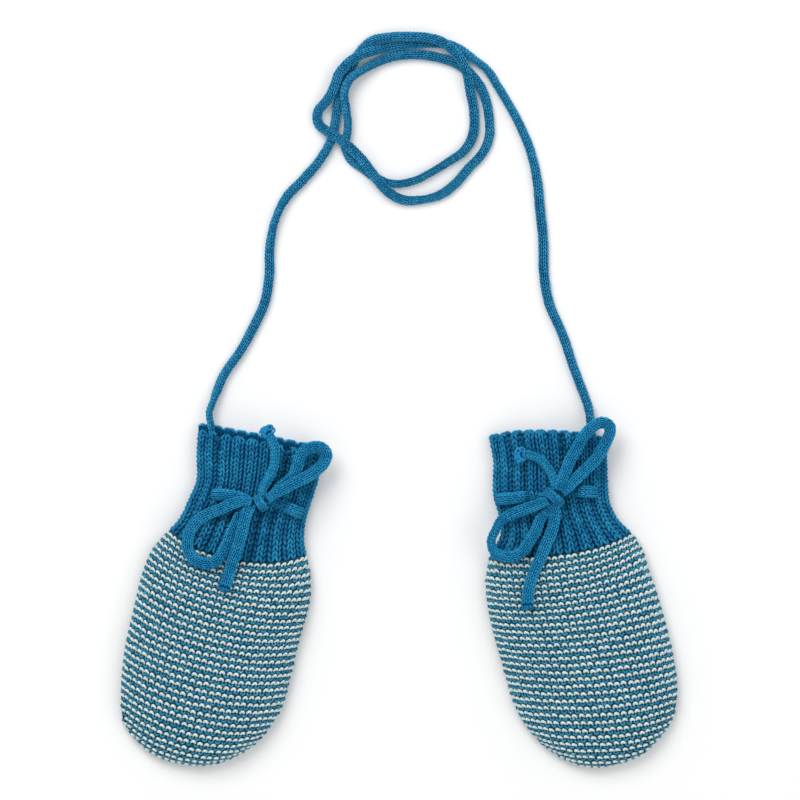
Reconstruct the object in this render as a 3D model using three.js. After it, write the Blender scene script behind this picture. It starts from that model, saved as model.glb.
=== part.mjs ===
import * as THREE from "three";

// A pair of knitted baby mittens lying on their backs, joined by a long neck cord.
// Millimetres, +Z up, the surface at z = 0. +Y points from the finger tips to the cuffs.

// Cloth
const wall = 2.4; // thickness of the knitted cloth
const gap = 0.3; // left between pieces at their seams
const seamHeight = 2.8; // side seams above the surface
const edgeRound = 3.5; // how far in from the edge the underside turns up
const domePower = 2.5; // fullness of the section across
const bowPower = 2.4; // how the rows bow towards the tip
const tipPower = 7; // how late the front falls to the seam at the tip
const rimBehind = 1.8; // the back of the cuff stands this much further up than the front

// Ribs of the cuff and garter ridges of the hand
const ribCount = 10;
const ribHeight = 0.9;
const ribShape = [0, 0.75, 1, 1, 0.75]; // groove, then the two knit columns
const ridgeCount = 31;
const ridgeHeight = 0.5;

// How finely the walls are divided: rows run along the mitten, columns across it
const handGrid = { rows: ridgeCount * 2, columns: 14, innerRows: 12, innerColumns: 10 };
const cuffGrid = { rows: 11, columns: ribCount * ribShape.length, innerRows: 6, innerColumns: 10 };
const backGrid = { rows: 14, columns: 12, innerRows: 8 };
const curveSteps = 240; // straight steps that a dome's length is measured in

// Knitted cord, flat oval
const cordWidth = 4.4;
const cordThickness = 2.6;
const cordSides = 10;
const bowStepLength = 3.4; // between a bow cord's rings
const neckCordSteps = 80;
const knotSize = [7.6, 6.8, 4.0];
const knotDivisions = [12, 8]; // round and from pole to pole
const edgeShare = 0.88; // cords beyond this share of the half width lie as high as there
const fitRounds = 8; // rounds that find the section under a point

// Where each cuff and hand meet, along the side seam
const leftJoin = 41.7;
const rightJoin = 42.5;

// One row for each section, measured at the side seams: at is the distance below the front rim's middle,
// left and right lie on each side of the mitten's axis, height is the crown above the surface,
// bow is how much further down the middle lies, tilt how much further down the right side lies.
const leftOutline = [
  { at: 0, left: 25.6, right: 25.2, height: 13.0, bow: -0.4, tilt: 0 },
  { at: 10, left: 24.2, right: 26.1, height: 13.0, bow: 0, tilt: 0 },
  { at: 20, left: 22.3, right: 25.1, height: 12.0, bow: 0, tilt: 0 },
  { at: 28, left: 23.8, right: 24.3, height: 12.0, bow: 1.8, tilt: 0 },
  { at: 37, left: 26.3, right: 25.2, height: 13.8, bow: 5.4, tilt: -0.2 },
  { at: 45, left: 31.6, right: 28.6, height: 15.5, bow: 7.4, tilt: -0.3 },
  { at: 52, left: 35.0, right: 31.0, height: 16.8, bow: 7.5, tilt: -0.2 },
  { at: 62, left: 36.9, right: 31.8, height: 17.6, bow: 7.7, tilt: 0 },
  { at: 76, left: 37.5, right: 30.6, height: 18.0, bow: 8.4, tilt: 0 },
  { at: 90, left: 38.0, right: 30.1, height: 18.0, bow: 9.8, tilt: 0 },
  { at: 104, left: 37.0, right: 28.8, height: 17.2, bow: 11.4, tilt: 0 },
  { at: 113, left: 35.4, right: 25.4, height: 16.0, bow: 12.8, tilt: 0 },
  { at: 120, left: 33.2, right: 21.3, height: 14.5, bow: 12.6, tilt: -0.6 },
];
const rightOutline = [
  { at: 1, left: 23.8, right: 23.2, height: 13.0, bow: -3.0, tilt: 4.2 },
  { at: 10, left: 23.5, right: 22.0, height: 13.0, bow: -1.6, tilt: 3.4 },
  { at: 22, left: 25.6, right: 20.8, height: 12.0, bow: 0, tilt: 2.2 },
  { at: 29, left: 24.8, right: 20.7, height: 12.0, bow: 1.0, tilt: 1.6 },
  { at: 37, left: 25.2, right: 23.2, height: 13.8, bow: 3.2, tilt: 0.9 },
  { at: 43.8, left: 30.4, right: 28.0, height: 15.5, bow: 4.8, tilt: 0.7 },
  { at: 51, left: 33.4, right: 30.6, height: 16.8, bow: 5.8, tilt: 0.4 },
  { at: 62, left: 34.9, right: 32.5, height: 17.6, bow: 6.8, tilt: 0 },
  { at: 76, left: 34.1, right: 34.4, height: 18.0, bow: 8.2, tilt: 0 },
  { at: 90, left: 32.3, right: 35.9, height: 18.0, bow: 9.8, tilt: 0 },
  { at: 104, left: 30.3, right: 36.0, height: 17.2, bow: 12.0, tilt: 0 },
  { at: 112, left: 27.6, right: 34.8, height: 16.0, bow: 13.6, tilt: 0 },
  { at: 119, left: 22.6, right: 33.0, height: 14.5, bow: 14.6, tilt: -1.0 },
];

// Each mitten's rim middle on the surface, and how far it leans
const leftMitten = { outline: leftOutline, join: leftJoin, x: -55.4, y: 62.8, lean: -10.9 };
const rightMitten = { outline: rightOutline, join: rightJoin, x: 59.6, y: 64.4, lean: 8.9 };

const cuffBlue = new THREE.MeshStandardMaterial({ color: 0x1b6fa3, roughness: 0.9, metalness: 0 });
const handTweed = new THREE.MeshStandardMaterial({ color: 0x8fb4bd, roughness: 0.9, metalness: 0 });
const cordBlue = new THREE.MeshStandardMaterial({ color: 0x1d76ab, roughness: 0.85, metalness: 0 });

// The columns of a table at one station, smooth between its rows
function sample(table, at) {
  let k = 0;
  while (k < table.length - 2 && at > table[k + 1].at) k += 1;
  const before = table[Math.max(k - 1, 0)];
  const low = table[k];
  const high = table[k + 1];
  const after = table[Math.min(k + 2, table.length - 1)];
  const span = high.at - low.at;
  const t = (at - low.at) / span;
  const row = {};
  for (const column of Object.keys(low)) {
    const slopeIn = ((high[column] - before[column]) / (high.at - before.at)) * span;
    const slopeOut = ((after[column] - low[column]) / (after.at - low.at)) * span;
    const start = (2 * t ** 3 - 3 * t ** 2 + 1) * low[column] + (t ** 3 - 2 * t ** 2 + t) * slopeIn;
    const end = (3 * t ** 2 - 2 * t ** 3) * high[column] + (t ** 3 - t ** 2) * slopeOut;
    row[column] = start + end;
  }
  row.at = at;
  return row;
}

// The dome's height over its edge at x from -1 to 1, as a share of its rise
function domeShare(x) {
  return Math.sqrt(Math.max(0, 1 - Math.abs(x) ** domePower));
}

// Points across a dome, equally far apart along it, with the direction that faces out
function domePoints(half, rise, count) {
  const curve = [];
  for (let k = 0; k <= curveSteps; k += 1) {
    const x = -Math.cos((Math.PI * k) / curveSteps);
    curve.push(new THREE.Vector2(x * half, domeShare(x) * rise));
  }
  const lengths = [0];
  for (let k = 1; k <= curveSteps; k += 1) lengths.push(lengths[k - 1] + curve[k].distanceTo(curve[k - 1]));
  const points = [];
  let k = 0;
  for (let j = 0; j <= count; j += 1) {
    const wanted = (lengths[curveSteps] * j) / count;
    while (k < curveSteps - 1 && lengths[k + 1] < wanted) k += 1;
    const t = (wanted - lengths[k]) / (lengths[k + 1] - lengths[k]);
    const along = curve[k + 1].clone().sub(curve[k]).normalize();
    const x = THREE.MathUtils.lerp(curve[k].x, curve[k + 1].x, t) / half;
    const z = THREE.MathUtils.lerp(curve[k].y, curve[k + 1].y, t);
    points.push({ x, z, outX: -along.y, outZ: along.x });
  }
  return points;
}

// A point in the mitten's own frame: x runs across from -1 to 1, half is the section's half width
function place(row, x, half, z) {
  const middle = (row.right - row.left) / 2;
  const down = row.at + row.bow * (1 - Math.abs(x) ** bowPower) + row.tilt * x;
  return new THREE.Vector3(middle + x * half, -down, z);
}

// One face of a front panel as rows of points. inset is 0 outside and the wall inside,
// fallsAtTip closes it down to the seam, lift raises the outer point of row i and column j.
function frontFace(outline, { from, to, rows, columns, inset, fallsAtTip, lift }) {
  const base = seamHeight + gap / 2;
  const end = fallsAtTip ? to - inset : to;
  const face = [];
  for (let i = 0; i <= rows; i += 1) {
    const v = i / rows;
    const row = sample(outline, THREE.MathUtils.lerp(from, end, v));
    const half = (row.left + row.right) / 2 - inset;
    const fall = fallsAtTip ? Math.sqrt(1 - v ** tipPower) : 1;
    const rise = (row.height - base - inset) * fall;
    const across = domePoints(half, rise, columns);
    face.push(
      across.map((p, j) => {
        const raised = lift(i, j);
        const x = p.x * half + p.outX * raised;
        return place(row, x / half, half, base + p.z + p.outZ * raised);
      }),
    );
  }
  return face;
}

// One face of a back panel: flat on the surface outside, turned up at the side seams and the tip
function backFace(outline, { from, to, rows, columns, inset, closesAtTip }) {
  const end = closesAtTip ? to - inset : to;
  const face = [];
  for (let i = 0; i <= rows; i += 1) {
    const row = sample(outline, THREE.MathUtils.lerp(from, end, i / rows));
    const half = (row.left + row.right) / 2 - inset;
    const line = [];
    for (let j = 0; j <= columns; j += 1) {
      const x = -Math.cos((Math.PI * j) / columns);
      const sideDistance = half * (1 - Math.abs(x));
      const tipDistance = closesAtTip ? end - row.at : Infinity;
      const inward = Math.min(sideDistance, tipDistance, edgeRound) / edgeRound;
      const turnedUp = (seamHeight - gap / 2) * (1 - Math.sqrt(1 - (1 - inward) ** 2));
      line.push(place(row, x, half, inset > 0 ? wall : turnedUp));
    }
    face.push(line);
  }
  return face;
}

// Triangles between two edges that may have different numbers of points
function zip(a, b, faces) {
  let i = 0;
  let j = 0;
  while (i < a.length - 1 || j < b.length - 1) {
    const nextA = i < a.length - 1 ? (i + 1) / (a.length - 1) : Infinity;
    const nextB = j < b.length - 1 ? (j + 1) / (b.length - 1) : Infinity;
    if (nextA <= nextB) {
      faces.push(a[i], a[i + 1], b[j]);
      i += 1;
    } else {
      faces.push(a[i], b[j + 1], b[j]);
      j += 1;
    }
  }
}

// A closed wall between an outer and an inner face. facesUp says which way the outer one looks.
function clothWall(outer, inner, facesUp) {
  const positions = [];
  const faces = [];
  const number = (face) => face.map((line) => line.map((p) => positions.push(p.x, p.y, p.z) / 3 - 1));
  const [out, into] = [number(outer), number(inner)];
  const skin = (grid, turned) => {
    for (let i = 0; i < grid.length - 1; i += 1) {
      for (let j = 0; j < grid[i].length - 1; j += 1) {
        const [a, b, c, d] = [grid[i][j], grid[i + 1][j], grid[i + 1][j + 1], grid[i][j + 1]];
        if (turned) faces.push(a, c, b, a, d, c);
        else faces.push(a, b, c, a, c, d);
      }
    }
  };
  skin(out, false);
  skin(into, true);
  const sides = (grid) => [
    grid[0],
    grid.map((line) => line[line.length - 1]),
    [...grid[grid.length - 1]].reverse(),
    grid.map((line) => line[0]).reverse(),
  ];
  const outSides = sides(out);
  const intoSides = sides(into);
  for (let k = 0; k < outSides.length; k += 1) zip(outSides[k], intoSides[k], faces);
  if (!facesUp) faces.reverse();
  const geometry = new THREE.BufferGeometry();
  geometry.setAttribute("position", new THREE.Float32BufferAttribute(positions, 3));
  geometry.setIndex(faces);
  geometry.computeVertexNormals();
  return geometry;
}

function handFront(mitten) {
  const from = mitten.join + gap / 2;
  const to = mitten.outline[mitten.outline.length - 1].at;
  const shared = { from, to, fallsAtTip: true };
  const ridge = (i) => (i % 2) * ridgeHeight;
  const { rows, columns, innerRows, innerColumns } = handGrid;
  const outer = frontFace(mitten.outline, { ...shared, rows, columns, inset: 0, lift: ridge });
  const plain = { rows: innerRows, columns: innerColumns, inset: wall, lift: () => 0 };
  return clothWall(outer, frontFace(mitten.outline, { ...shared, ...plain }), true);
}

function cuffFront(mitten) {
  const shared = { from: mitten.outline[0].at, to: mitten.join - gap / 2, fallsAtTip: false };
  const rib = (i, j) => ribShape[j % ribShape.length] * ribHeight;
  const { rows, columns, innerRows, innerColumns } = cuffGrid;
  const outer = frontFace(mitten.outline, { ...shared, rows, columns, inset: 0, lift: rib });
  const plain = { rows: innerRows, columns: innerColumns, inset: wall, lift: () => 0 };
  return clothWall(outer, frontFace(mitten.outline, { ...shared, ...plain }), true);
}

function backPanel(mitten, from, to, closesAtTip) {
  const shared = { from, to, columns: backGrid.columns, closesAtTip };
  const outer = backFace(mitten.outline, { ...shared, rows: backGrid.rows, inset: 0 });
  const inner = backFace(mitten.outline, { ...shared, rows: backGrid.innerRows, inset: wall });
  return clothWall(outer, inner, false);
}

// A route whose frames keep the cord's flat side level
class FlatRoute extends THREE.CatmullRomCurve3 {
  computeFrenetFrames(segments) {
    const frames = { tangents: [], normals: [], binormals: [] };
    for (let k = 0; k <= segments; k += 1) {
      const tangent = this.getTangentAt(k / segments);
      const side = new THREE.Vector3(tangent.y, -tangent.x, 0).normalize();
      frames.tangents.push(tangent);
      frames.binormals.push(side);
      frames.normals.push(new THREE.Vector3().crossVectors(side, tangent));
    }
    return frames;
  }
}

function cordAlong(points, steps) {
  const section = new THREE.Shape();
  for (let k = 0; k < cordSides; k += 1) {
    const angle = (2 * Math.PI * k) / cordSides;
    const x = (Math.cos(angle) * cordThickness) / 2;
    const y = (Math.sin(angle) * cordWidth) / 2;
    if (k === 0) section.moveTo(x, y);
    else section.lineTo(x, y);
  }
  const extrudePath = new FlatRoute(points, false, "centripetal");
  return new THREE.ExtrudeGeometry(section, { steps, extrudePath, curveSegments: 1 });
}

// Height of the cuff's or hand's front under a point of the part's frame. Past the edge it stays level.
function clothTop(mitten, x, y) {
  const turn = THREE.MathUtils.degToRad(mitten.lean);
  const dx = x - mitten.x;
  const dy = y - mitten.y;
  const across = dx * Math.cos(turn) + dy * Math.sin(turn);
  const down = dx * Math.sin(turn) - dy * Math.cos(turn);
  const first = mitten.outline[0].at;
  const last = mitten.outline[mitten.outline.length - 1].at;
  let row = sample(mitten.outline, THREE.MathUtils.clamp(down, first, last));
  let share = 0;
  for (let k = 0; k < fitRounds; k += 1) {
    const half = (row.left + row.right) / 2;
    share = THREE.MathUtils.clamp((across - (row.right - row.left) / 2) / half, -edgeShare, edgeShare);
    const at = down - row.bow * (1 - Math.abs(share) ** bowPower) - row.tilt * share;
    row = sample(mitten.outline, THREE.MathUtils.clamp(at, first, last));
  }
  const base = seamHeight + gap / 2;
  const raised = row.at < mitten.join ? ribHeight : ridgeHeight;
  return base + (row.height - base) * domeShare(share) + raised;
}

// A bow cord's route laid on the cloth. Each point has its layer: 0 on the cloth, 1 over another cord.
function drape(mitten, route) {
  const layerStep = cordThickness + gap;
  const reach = cordWidth / 2;
  return route.map(([x, y, layer]) => {
    const around = [[0, 0], [reach, 0], [-reach, 0], [0, reach], [0, -reach]];
    const cloth = Math.max(...around.map(([dx, dy]) => clothTop(mitten, x + dx, y + dy)));
    return new THREE.Vector3(x, y, cloth + gap + cordThickness / 2 + layer * layerStep);
  });
}

// The neck cord from inside the left cuff, through two loose turns, to inside the right cuff: x, y, z
const neckCordRoute = [
  // left leg
  [-74.8, 60.4, 4.1], [-74.8, 65.0, 4.1], [-75.0, 68.6, 4.1], [-75.6, 71.6, 3.9], [-75.8, 74.0, 3.2],
  [-74.6, 77.4, 2.4], [-70.0, 88.8, 1.5], [-63.4, 98.4, 1.5], [-58.3, 107.7, 1.5], [-53.6, 118.1, 1.5],
  [-51.9, 128.7, 1.5], [-51.6, 140.0, 1.5],
  [-49.6, 150.4, 1.5], [-45.2, 159.6, 1.5], [-38.4, 166.8, 1.5], [-31.6, 174.8, 1.5], [-26.8, 183.6, 1.5],
  [-24.4, 197.2, 1.5],
  // first turn: outer top, over the other two strands, inner right side, inner bottom
  [-22.8, 204.8, 1.5], [-19.2, 211.6, 1.5], [-15.6, 218.0, 1.5], [-10.8, 222.4, 1.8], [-3.6, 223.8, 3.4],
  [3.2, 224.0, 4.5], [10.4, 223.6, 4.6], [16.8, 222.0, 4.6], [22.4, 217.6, 4.6], [26.4, 211.6, 4.6],
  [28.4, 202.8, 3.2], [30.0, 193.6, 1.6], [29.6, 184.8, 1.5], [26.0, 178.4, 1.5], [20.4, 174.4, 1.5],
  [13.2, 170.0, 1.5], [6.0, 166.4, 1.5], [-1.6, 165.2, 1.5], [-8.4, 167.2, 1.5], [-14.0, 171.2, 1.5],
  [-19.4, 175.4, 1.5], [-21.4, 180.4, 1.5],
  // second turn: left side, inner top, outer right side, outer bottom
  [-20.4, 188.0, 1.8], [-21.2, 195.6, 3.8], [-21.8, 201.6, 4.6], [-19.8, 206.6, 4.5], [-15.0, 210.4, 3.2],
  [-10.0, 213.2, 1.6], [-4.0, 215.6, 1.5], [2.8, 216.8, 1.5], [9.6, 216.8, 1.5], [17.0, 215.4, 1.5],
  [24.4, 212.6, 1.5], [30.4, 207.2, 1.5], [34.0, 200.8, 1.5], [36.0, 191.6, 1.5], [36.0, 183.6, 1.5],
  [33.2, 177.2, 1.5], [28.0, 171.6, 1.5], [22.4, 165.2, 1.5], [16.4, 160.8, 1.5], [8.8, 158.8, 1.5],
  [1.6, 158.8, 2.0], [-4.4, 162.0, 4.0], [-9.2, 167.4, 4.6],
  // over both lower strands to the kink, up the left side, middle top, right leg
  [-14.8, 174.8, 4.6], [-22.4, 182.0, 4.6], [-28.0, 185.6, 4.2], [-32.4, 189.6, 2.8], [-32.2, 194.4, 2.6],
  [-28.8, 198.4, 3.8], [-26.0, 203.6, 4.6], [-23.8, 209.4, 4.6], [-18.8, 214.6, 4.6], [-13.2, 217.4, 3.4],
  [-7.0, 219.2, 1.6], [1.6, 220.8, 1.5], [9.6, 221.4, 1.5], [17.2, 221.4, 1.5], [23.6, 219.4, 1.5],
  [29.6, 215.2, 1.5], [35.2, 210.8, 1.5], [39.6, 204.0, 1.5], [44.4, 196.0, 1.5], [48.4, 188.4, 1.5],
  [52.4, 178.8, 1.5], [55.2, 166.8, 1.5], [56.4, 154.8, 1.5], [57.6, 142.8, 1.5], [58.0, 128.8, 1.5],
  [60.0, 117.6, 1.5], [65.6, 104.4, 1.5], [69.6, 92.4, 1.5], [73.2, 82.8, 1.5], [75.6, 76.0, 2.4],
  [76.4, 70.6, 3.9], [76.9, 65.2, 4.1], [77.4, 59.4, 4.1],
];

// The drawstring bows: x, y, layer
const leftBow = {
  knot: [-55.0, 37.4],
  loop_up: [
    [-46.6, 44.9, 0], [-44.6, 46.2, 0], [-42.0, 48.8, 0], [-40.4, 52.4, 0], [-39.6, 56.0, 0], [-37.2, 59.0, 0],
    [-33.2, 60.2, 0], [-30.0, 59.2, 0], [-28.8, 56.4, 0], [-30.4, 53.2, 0], [-33.6, 50.2, 0.2], [-37.6, 47.8, 0.8],
    [-42.0, 45.6, 1], [-46.8, 43.0, 1], [-50.2, 41.0, 1],
  ],
  loop_down: [
    [-62.0, 38.6, 1], [-67.6, 36.9, 0.8], [-71.6, 35.0, 0.3], [-75.7, 33.5, 0], [-80.0, 30.8, 0], [-83.1, 26.6, 0],
    [-84.1, 22.5, 0], [-83.8, 18.8, 0], [-82.0, 16.0, 0], [-79.6, 14.5, 0], [-75.7, 13.7, 0], [-72.8, 14.8, 0],
    [-70.4, 17.8, 0], [-68.2, 22.0, 0], [-66.4, 26.6, 0], [-64.4, 30.6, 0], [-63.2, 33.0, 0],
  ],
  string_up: [
    [-38.8, 33.4, 0], [-45.6, 36.2, 0], [-50.8, 38.0, 0], [-54.2, 40.2, 0], [-54.4, 43.2, 0], [-52.4, 46.8, 0],
    [-50.4, 50.8, 0], [-49.4, 54.8, 0], [-49.4, 58.8, 0], [-50.4, 62.6, 0], [-52.4, 66.0, 0],
  ],
  string_down: [
    [-74.4, 41.2, 0], [-68.4, 41.0, 0], [-62.6, 39.6, 0], [-59.2, 37.4, 0.2], [-60.4, 34.2, 0.9], [-61.4, 30.6, 1],
    [-62.3, 26.6, 1], [-63.4, 22.5, 1], [-64.8, 18.2, 0.9], [-66.4, 14.0, 0.4], [-67.4, 10.0, 0], [-68.4, 6.8, 0],
    [-69.2, 4.2, 0],
  ],
};
const rightBow = {
  knot: [62.4, 39.8],
  loop_up: [
    [64.0, 45.6, 1], [66.2, 50.4, 0.6], [68.1, 54.8, 0], [70.4, 58.8, 0], [72.5, 62.8, 0], [75.6, 66.8, 0],
    [78.4, 69.0, 0], [81.2, 69.8, 0], [83.6, 68.8, 0], [84.2, 66.4, 0], [83.2, 63.6, 0], [82.1, 61.1, 0],
    [80.2, 57.8, 0], [78.1, 54.8, 0], [74.0, 50.8, 0], [69.8, 46.8, 0.6], [67.2, 43.9, 1],
  ],
  loop_down: [
    [56.4, 37.6, 1], [53.0, 36.4, 1], [49.6, 35.2, 0.9], [44.4, 33.0, 0.3], [40.8, 30.8, 0], [38.4, 26.8, 0],
    [36.7, 22.6, 0], [37.6, 19.0, 0], [40.4, 17.0, 0], [44.6, 16.5, 0], [48.0, 17.8, 0], [50.2, 20.0, 0],
    [51.9, 22.6, 0], [54.4, 26.6, 0], [56.0, 30.8, 0],
  ],
  string_up: [
    [78.8, 42.0, 0], [71.2, 42.4, 0], [65.2, 42.0, 0], [62.4, 43.6, 0], [61.6, 47.2, 0], [59.8, 50.8, 0],
    [57.0, 54.2, 0], [54.0, 56.2, 0], [51.2, 57.0, 0], [48.6, 56.8, 0],
  ],
  string_down: [
    [39.0, 39.2, 0], [45.2, 39.8, 0], [52.0, 40.2, 0], [58.6, 38.8, 0], [62.0, 35.2, 0], [61.8, 30.8, 0],
    [60.8, 26.6, 0], [59.1, 22.6, 0], [57.4, 18.5, 0], [55.6, 14.4, 0], [53.6, 10.3, 0], [52.3, 6.2, 0],
    [51.4, 2.2, 0], [51.3, -2.8, 0],
  ],
};

function routeLength(points) {
  return new THREE.CatmullRomCurve3(points, false, "centripetal").getLength();
}

// The cords of one bow, and the knot that sits on their crossing
function bowParts(name, mitten, bow) {
  const parts = new THREE.Group();
  for (const piece of ["loop_up", "loop_down", "string_up", "string_down"]) {
    const points = drape(mitten, bow[piece]);
    const steps = Math.round(routeLength(points) / bowStepLength);
    const mesh = new THREE.Mesh(cordAlong(points, steps), cordBlue);
    mesh.name = `${name}_${piece}`;
    parts.add(mesh);
  }
  const [x, y] = bow.knot;
  const knot = new THREE.Mesh(new THREE.SphereGeometry(0.5, ...knotDivisions), cordBlue);
  knot.geometry.scale(...knotSize);
  knot.name = `${name}_knot`;
  knot.position.set(x, y, clothTop(mitten, x, y) + cordThickness + 2 * gap + knotSize[2] / 2);
  parts.add(knot);
  return parts;
}

// The four panels of one mitten, in a group that carries its place and lean
function mittenParts(name, mitten) {
  const { outline, join } = mitten;
  const last = outline[outline.length - 1].at;
  const pieces = {
    cuff_front: [cuffFront(mitten), cuffBlue],
    cuff_back: [backPanel(mitten, outline[0].at - rimBehind, join - gap / 2, false), cuffBlue],
    hand_front: [handFront(mitten), handTweed],
    hand_back: [backPanel(mitten, join + gap / 2, last, true), handTweed],
  };
  const parts = new THREE.Group();
  for (const [piece, [geometry, material]] of Object.entries(pieces)) {
    const mesh = new THREE.Mesh(geometry, material);
    mesh.name = `${name}_${piece}`;
    parts.add(mesh);
  }
  parts.position.set(mitten.x, mitten.y, 0);
  parts.rotation.z = THREE.MathUtils.degToRad(mitten.lean);
  return parts;
}

const neckCord = new THREE.Mesh(
  cordAlong(neckCordRoute.map(([x, y, z]) => new THREE.Vector3(x, y, z)), neckCordSteps),
  cordBlue,
);
neckCord.name = "neck_cord";

const pair = new THREE.Group();
pair.add(mittenParts("left", leftMitten), mittenParts("right", rightMitten));
pair.add(bowParts("left", leftMitten, leftBow), bowParts("right", rightMitten, rightBow));
pair.add(neckCord);

export default pair;
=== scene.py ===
import math
import random

import bpy
import numpy as np
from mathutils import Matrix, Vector


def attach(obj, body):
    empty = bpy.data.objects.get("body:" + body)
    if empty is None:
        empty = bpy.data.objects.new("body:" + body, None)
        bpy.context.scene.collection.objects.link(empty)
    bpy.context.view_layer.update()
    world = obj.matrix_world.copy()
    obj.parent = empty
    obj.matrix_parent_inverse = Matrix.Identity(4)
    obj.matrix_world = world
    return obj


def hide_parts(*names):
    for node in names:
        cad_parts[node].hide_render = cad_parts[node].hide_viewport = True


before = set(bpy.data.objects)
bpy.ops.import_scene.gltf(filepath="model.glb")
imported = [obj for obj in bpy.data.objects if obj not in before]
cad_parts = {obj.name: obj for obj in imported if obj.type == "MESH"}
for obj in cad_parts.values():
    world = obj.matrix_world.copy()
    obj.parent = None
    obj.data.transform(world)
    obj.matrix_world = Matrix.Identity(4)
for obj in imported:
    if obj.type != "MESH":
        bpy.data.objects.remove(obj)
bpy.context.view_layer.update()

scene = bpy.context.scene
mm = 0.001
body = "root"

# camera straight above the mittens, far away with a long lens, as the photo looks
view = {"centre": (0.4, 78.8), "across": 320.0, "height": 3000.0}

cameraData = bpy.data.cameras.new("camera")
cameraData.lens = cameraData.sensor_width * view["height"] / view["across"]
cameraData.clip_end = 20.0
camera = bpy.data.objects.new("camera", cameraData)
camera.location = (view["centre"][0] * mm, view["centre"][1] * mm, view["height"] * mm)
scene.collection.objects.link(camera)
scene.camera = camera

# cloth sizes in millimetres, the same as the frame's
cloth = {"wall": 2.4, "gap": 0.3, "seamHeight": 2.8, "edgeRound": 3.5, "domePower": 2.5, "bowPower": 2.4,
         "tipPower": 7, "ribs": 10, "ribHeight": 0.9, "ridgeHeight": 0.5, "edgeShare": 0.88, "fitRounds": 8}
cordSize = {"width": 4.4, "thickness": 2.6}
wall, gap, ribs = cloth["wall"], cloth["gap"], cloth["ribs"]
seam = cloth["seamHeight"] + gap / 2  # where the fronts begin, above the surface


def table(columns, *rows):
    return [dict(zip(columns.split(), row)) for row in rows]


# one row for each section, measured at the side seams
leftOutline = table(
    "at left right height bow tilt",
    (0, 25.6, 25.2, 13.0, -0.4, 0), (10, 24.2, 26.1, 13.0, 0, 0), (20, 22.3, 25.1, 12.0, 0, 0),
    (28, 23.8, 24.3, 12.0, 1.8, 0), (37, 26.3, 25.2, 13.8, 5.4, -0.2), (45, 31.6, 28.6, 15.5, 7.4, -0.3),
    (52, 35.0, 31.0, 16.8, 7.5, -0.2), (62, 36.9, 31.8, 17.6, 7.7, 0), (76, 37.5, 30.6, 18.0, 8.4, 0),
    (90, 38.0, 30.1, 18.0, 9.8, 0), (104, 37.0, 28.8, 17.2, 11.4, 0), (113, 35.4, 25.4, 16.0, 12.8, 0),
    (120, 33.2, 21.3, 14.5, 12.6, -0.6),
)
rightOutline = table(
    "at left right height bow tilt",
    (1, 23.8, 23.2, 13.0, -3.0, 4.2), (10, 23.5, 22.0, 13.0, -1.6, 3.4), (22, 25.6, 20.8, 12.0, 0, 2.2),
    (29, 24.8, 20.7, 12.0, 1.0, 1.6), (37, 25.2, 23.2, 13.8, 3.2, 0.9), (43.8, 30.4, 28.0, 15.5, 4.8, 0.7),
    (51, 33.4, 30.6, 16.8, 5.8, 0.4), (62, 34.9, 32.5, 17.6, 6.8, 0), (76, 34.1, 34.4, 18.0, 8.2, 0),
    (90, 32.3, 35.9, 18.0, 9.8, 0), (104, 30.3, 36.0, 17.2, 12.0, 0), (112, 27.6, 34.8, 16.0, 13.6, 0),
    (119, 22.6, 33.0, 14.5, 14.6, -1.0),
)
# how the knitted rows of the hands lie, flatter than the outline
leftRows = table(
    "at bow tilt",
    (41.7, 6.9, -0.3), (52, 5.4, 1.0), (62, 4.7, 1.8), (76, 4.6, 1.2), (100, 4.4, 1.0), (120, 5.0, 1.4),
)
rightRows = table(
    "at bow tilt",
    (42.5, 4.5, 0.7), (52, 3.6, -0.4), (62, 2.8, 0.8), (76, 2.2, 2.0), (90, 2.0, 3.0), (104, 2.2, 2.8),
    (119, 3.0, 2.4),
)
# the two rims are how far below the outline's first row the edge of each wall lies
mittens = {
    "left": {"outline": leftOutline, "rows": leftRows, "join": 41.7, "x": -55.4, "y": 62.8, "lean": -10.9,
             "frontRim": 1.7, "backRim": -0.95},
    "right": {"outline": rightOutline, "rows": rightRows, "join": 42.5, "x": 59.6, "y": 64.4, "lean": 8.9,
              "frontRim": 1.0, "backRim": 0.4},
}


def section(outline, at):  # the table's columns at one station, smooth between its rows
    k = 0
    while k < len(outline) - 2 and at > outline[k + 1]["at"]:
        k += 1
    before, after = outline[max(k - 1, 0)], outline[min(k + 2, len(outline) - 1)]
    low, high = outline[k], outline[k + 1]
    span = high["at"] - low["at"]
    t = (at - low["at"]) / span
    row = {}
    for name in low:
        slopeIn = (high[name] - before[name]) / (high["at"] - before["at"]) * span
        slopeOut = (after[name] - low[name]) / (after["at"] - low["at"]) * span
        start = (2 * t**3 - 3 * t**2 + 1) * low[name] + (t**3 - 2 * t**2 + t) * slopeIn
        row[name] = start + (3 * t**2 - 2 * t**3) * high[name] + (t**3 - t**2) * slopeOut
    row["at"] = at
    return row


def cut(mitten, at, inset=0):  # the section at one station and its half width
    row = section(mitten["outline"], at)
    return row, (row["left"] + row["right"]) / 2 - inset


def domeShare(x):
    return np.sqrt(np.maximum(0, 1 - np.abs(x) ** cloth["domePower"]))


def dome(half, rise, u):  # x share and height at equal lengths along the dome, straight down past its ends
    fine = -np.cos(np.linspace(0, math.pi, 241))
    height = domeShare(fine) * rise
    along = np.concatenate([[0], np.cumsum(np.hypot(np.diff(fine * half), np.diff(height)))])
    wanted = np.clip(u, 0, 1) * along[-1]
    past = (np.maximum(-u, 0) + np.maximum(u - 1, 0)) * along[-1]
    return np.interp(wanted, along, fine), np.interp(wanted, along, height) - past


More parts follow.
